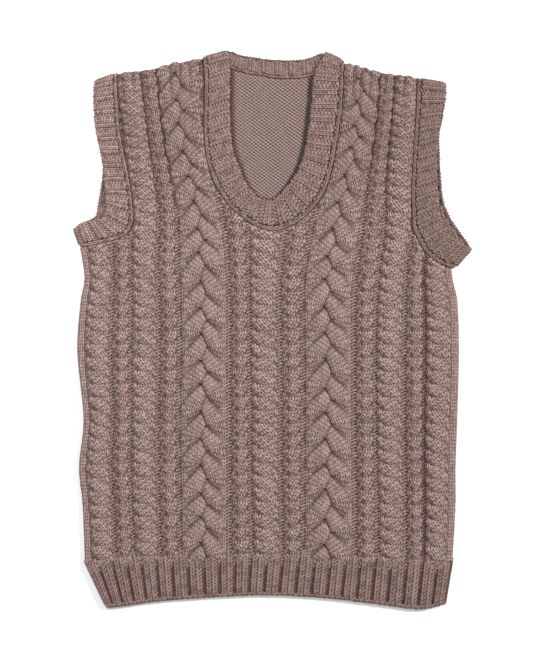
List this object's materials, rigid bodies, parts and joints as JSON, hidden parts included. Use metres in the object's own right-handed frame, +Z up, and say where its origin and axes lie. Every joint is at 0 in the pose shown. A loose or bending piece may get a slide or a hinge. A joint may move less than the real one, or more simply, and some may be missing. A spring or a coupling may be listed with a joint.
{
  "type": "knitted sweater vest",
  "caption": "Sleeveless hand-knitted cable sweater with a scooped neck, ribbed bands and ribbed hem, laid flat on a surface.",
  "frame": {"origin": "middle of the underside's box, on the surface the vest lies on", "axes": "+Y towards the shoulders, +X to the right as seen from above, +Z up out of the front"},
  "size_m": [0.4566, 0.6424, 0.0097],
  "materials": {
    "cable_knit": "heathered wool, cabled",
    "plain_knit": "heathered wool, plain knit",
    "rib_knit": "heathered wool, two by two rib"
  },
  "bodies": {
    "root": {"back_panel": "plain_knit", "back_hem_rib": "rib_knit", "front_panel": "cable_knit", "front_hem_rib": "rib_knit", "neckband": "rib_knit", "armband_left": "rib_knit", "armband_right": "rib_knit"}
  },
  "joints": []
}
